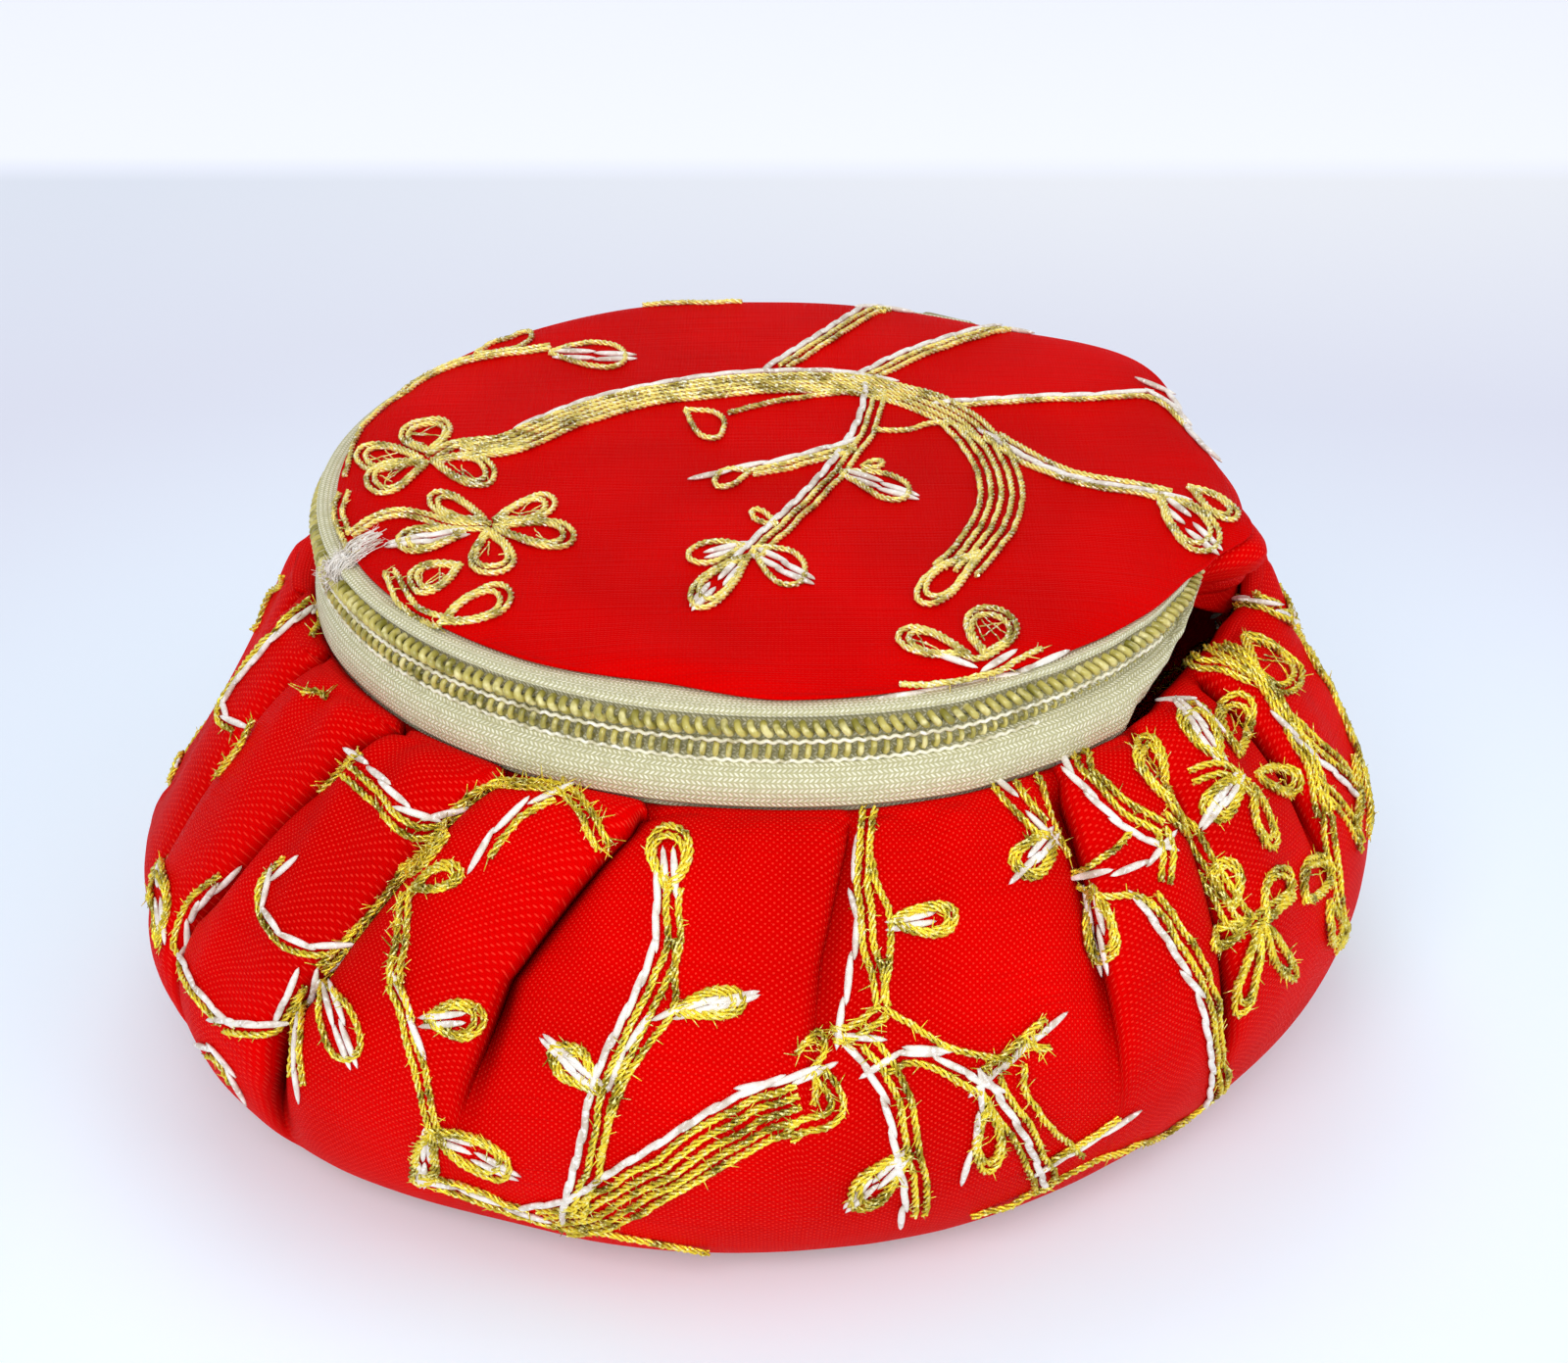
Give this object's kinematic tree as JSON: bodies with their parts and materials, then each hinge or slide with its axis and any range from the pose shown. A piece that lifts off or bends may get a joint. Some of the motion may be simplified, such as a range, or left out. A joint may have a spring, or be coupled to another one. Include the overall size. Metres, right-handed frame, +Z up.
{
  "type": "potli bag",
  "caption": "Round potli bag: a puffed body gathered into its neck, a hollow inside, and a flat padded lid with a coil zip round it and a cloth hinge.",
  "frame": {"origin": "middle of the flat base, on the surface that the bag rests on", "axes": "+Z up through the lid, -Y towards the front of the bag, +X to its right seen from the front"},
  "size_m": [0.1395, 0.1387, 0.0629],
  "materials": {
    "red_cloth": "plain-woven silk look with a soft sheen",
    "zip_tape": "twill-woven tape",
    "zip_coil": "dyed nylon coil",
    "zip_metal": "plain satin metal"
  },
  "bodies": {
    "root": {"base_panel": "red_cloth", "body_wall": "red_cloth", "zip_tape_lower": "zip_tape", "zip_tape_upper": "zip_tape", "zip_coil_lower": "zip_coil", "zip_coil_upper": "zip_coil", "zip_slider": "zip_metal", "hinge_panel": "red_cloth", "lid_panel": "red_cloth"}
  },
  "joints": []
}
